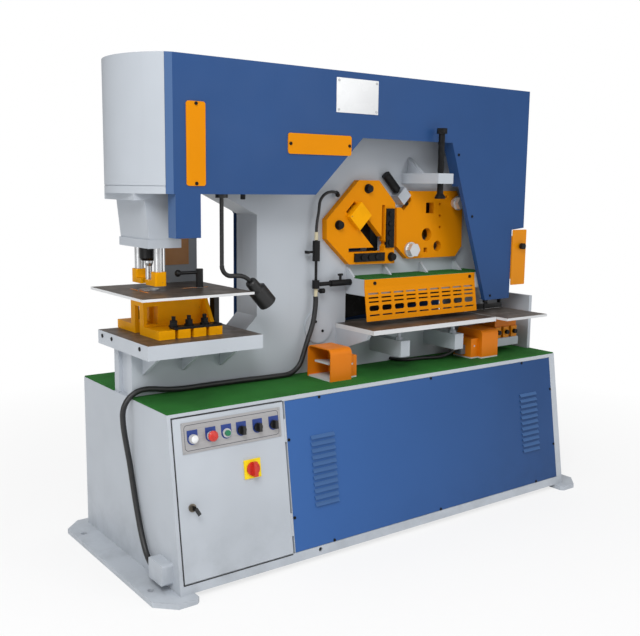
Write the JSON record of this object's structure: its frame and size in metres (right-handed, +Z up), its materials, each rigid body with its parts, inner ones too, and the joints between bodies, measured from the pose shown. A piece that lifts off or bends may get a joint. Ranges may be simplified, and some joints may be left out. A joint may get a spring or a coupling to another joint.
{
  "type": "hydraulic ironworker",
  "caption": "Hydraulic ironworker with a punch station, angle and section shears, a pivoting plate shear with a perforated guard, a notcher and a cabinet base with foot pedals.",
  "frame": {"origin": "centre of the four floor anchors, on the floor", "axes": "+X along the machine from the punch to the notcher, +Y to the back, +Z up"},
  "size_m": [2.35, 0.954, 1.95],
  "materials": {
    "grey_paint": "semi-gloss light grey machine paint",
    "blue_paint": "semi-gloss blue sheet paint",
    "yellow_paint": "semi-gloss yellow-orange paint",
    "green_mat": "ribbed green rubber mat",
    "black_steel": "black oxide steel",
    "dark_table": "dark milled steel",
    "bright_steel": "bare machined steel",
    "control_grey": "satin grey control plate",
    "red_plastic": "red plastic",
    "green_plastic": "green plastic",
    "black_plastic": "black plastic",
    "black_rubber": "black rubber sheath"
  },
  "bodies": {
    "machine": {"foot_plates": "grey_paint", "base_cabinet": "grey_paint", "front_panel": "blue_paint", "rubber_mats": "green_mat", "electric_panel": "control_grey", "power_unit": "bright_steel", "frame_front_plate": "grey_paint", "frame_back_plate": "grey_paint", "beam_front_cover": "blue_paint", "column_front_cover": "blue_paint", "rear_cover": "blue_paint", "cylinder_cap": "grey_paint", "punch_cylinder": "grey_paint", "cylinder_housing": "grey_paint", "inspection_covers": "yellow_paint", "punch_table": "grey_paint", "work_table": "dark_table", "die_holder": "yellow_paint", "punch_die": "bright_steel", "fixing_bolts": "black_steel", "stripper_columns": "bright_steel", "stripper_blocks": "yellow_paint", "angle_plate": "yellow_paint", "section_plate": "yellow_paint", "section_bolts": "bright_steel", "shear_box": "grey_paint", "shear_guard": "yellow_paint", "shear_table": "dark_table", "table_supports": "grey_paint", "fixed_blades": "black_steel", "notch_table": "dark_table", "notch_die": "yellow_paint", "notch_guard": "yellow_paint", "pedal_guards": "yellow_paint", "pivot_pin": "grey_paint", "shear_cylinder": "grey_paint", "gauge_stand": "black_steel", "gauge_hose": "black_rubber", "control_cable": "black_rubber", "work_lamp": "black_plastic"},
    "punch_ram_set": {"punch_ram": "black_steel", "punch": "bright_steel"},
    "shear_beam_set": {"shear_beam": "black_steel", "section_insert": "bright_steel", "moving_blades": "bright_steel"},
    "shear_ram": {"shear_ram": "bright_steel"},
    "door": {"cabinet_door": "grey_paint", "control_plate": "control_grey"},
    "isolator_knob": {"isolator_knob": "red_plastic"},
    "red_button": {"red_button": "red_plastic"},
    "green_button": {"green_button": "green_plastic"},
    "selector_a": {"selector_a": "black_plastic"},
    "selector_b": {"selector_b": "black_plastic"},
    "selector_c": {"selector_c": "black_plastic"},
    "door_lock": {"door_lock": "bright_steel"},
    "left_tread": {"left_tread": "bright_steel"},
    "right_tread": {"right_tread": "bright_steel"},
    "hold_down_screw": {"hold_down_screw": "black_steel"},
    "clamp_screw": {"clamp_screw": "black_steel"},
    "angle_slide": {"angle_slide": "yellow_paint"}
  },
  "joints": [
    {"name": "punch_ram_slide", "type": "slide", "parent": "machine", "child": "punch_ram_set", "axis": [0, 0, -1], "range_m": [0, 0.066]},
    {"name": "shear_beam_pivot", "type": "hinge", "parent": "machine", "child": "shear_beam_set", "pos_m": [-0.178, 0.0485, 0.874], "axis": [0, 1, 0], "range_deg": [0, 4.6]},
    {"name": "shear_ram_slide", "type": "slide", "parent": "machine", "child": "shear_ram", "axis": [0, 0, -1], "range_m": [0, 0.0725]},
    {"name": "cabinet_door_hinge", "type": "hinge", "parent": "machine", "child": "door", "pos_m": [-0.573, -0.38945, 0.2969], "axis": [0, 0.1435, 0.9897], "range_deg": [0, 110]},
    {"name": "isolator_turn", "type": "hinge", "parent": "door", "child": "isolator_knob", "pos_m": [-0.73598, -0.37152, 0.4206], "axis": [0, -0.9897, 0.1435], "range_deg": [0, 90]},
    {"name": "red_button_press", "type": "slide", "parent": "door", "child": "red_button", "axis": [0, 0.9897, -0.1435], "range_m": [0, 0.005], "stiffness_N_per_m": 600, "springref_m": -0.004},
    {"name": "green_button_press", "type": "slide", "parent": "door", "child": "green_button", "axis": [0, 0.9897, -0.1435], "range_m": [0, 0.005], "stiffness_N_per_m": 600, "springref_m": -0.004},
    {"name": "selector_a_turn", "type": "hinge", "parent": "door", "child": "selector_a", "pos_m": [-0.77216, -0.34956, 0.57201], "axis": [0, -0.9897, 0.1435], "range_deg": [-45, 45]},
    {"name": "selector_b_turn", "type": "hinge", "parent": "door", "child": "selector_b", "pos_m": [-0.69981, -0.34956, 0.57201], "axis": [0, -0.9897, 0.1435], "range_deg": [-45, 45]},
    {"name": "selector_c_turn", "type": "hinge", "parent": "door", "child": "selector_c", "pos_m": [-0.62698, -0.34956, 0.57201], "axis": [0, -0.9897, 0.1435], "range_deg": [-45, 45]},
    {"name": "door_lock_turn", "type": "hinge", "parent": "door", "child": "door_lock", "pos_m": [-1.001, -0.38526, 0.3258], "axis": [0, -0.9897, 0.1435], "range_deg": [0, 90]},
    {"name": "left_tread_press", "type": "hinge", "parent": "machine", "child": "left_tread", "pos_m": [-0.14, -0.1715, 0.734], "axis": [0, -1, 0], "range_deg": [0, 15], "stiffness_Nm_per_rad": 5, "springref_deg": -22.92},
    {"name": "right_tread_press", "type": "hinge", "parent": "machine", "child": "right_tread", "pos_m": [0.618, -0.1655, 0.734], "axis": [0, 1, 0], "range_deg": [0, 15], "stiffness_Nm_per_rad": 5, "springref_deg": -22.92},
    {"name": "hold_down_screw_slide", "type": "slide", "parent": "machine", "child": "hold_down_screw", "axis": [0, 0, 1], "range_m": [-0.15, 0.04]},
    {"name": "clamp_screw_slide", "type": "slide", "parent": "machine", "child": "clamp_screw", "axis": [-0.7071, 0, 0.7071], "range_m": [0, 0.04]},
    {"name": "angle_slide_slide", "type": "slide", "parent": "machine", "child": "angle_slide", "axis": [0.7071, 0, -0.7071], "range_m": [0, 0.07]}
  ],
  "couplings": [
    {"joint": "shear_ram_slide", "follows": "shear_beam_pivot", "m_per_rad": 0.9}
  ]
}
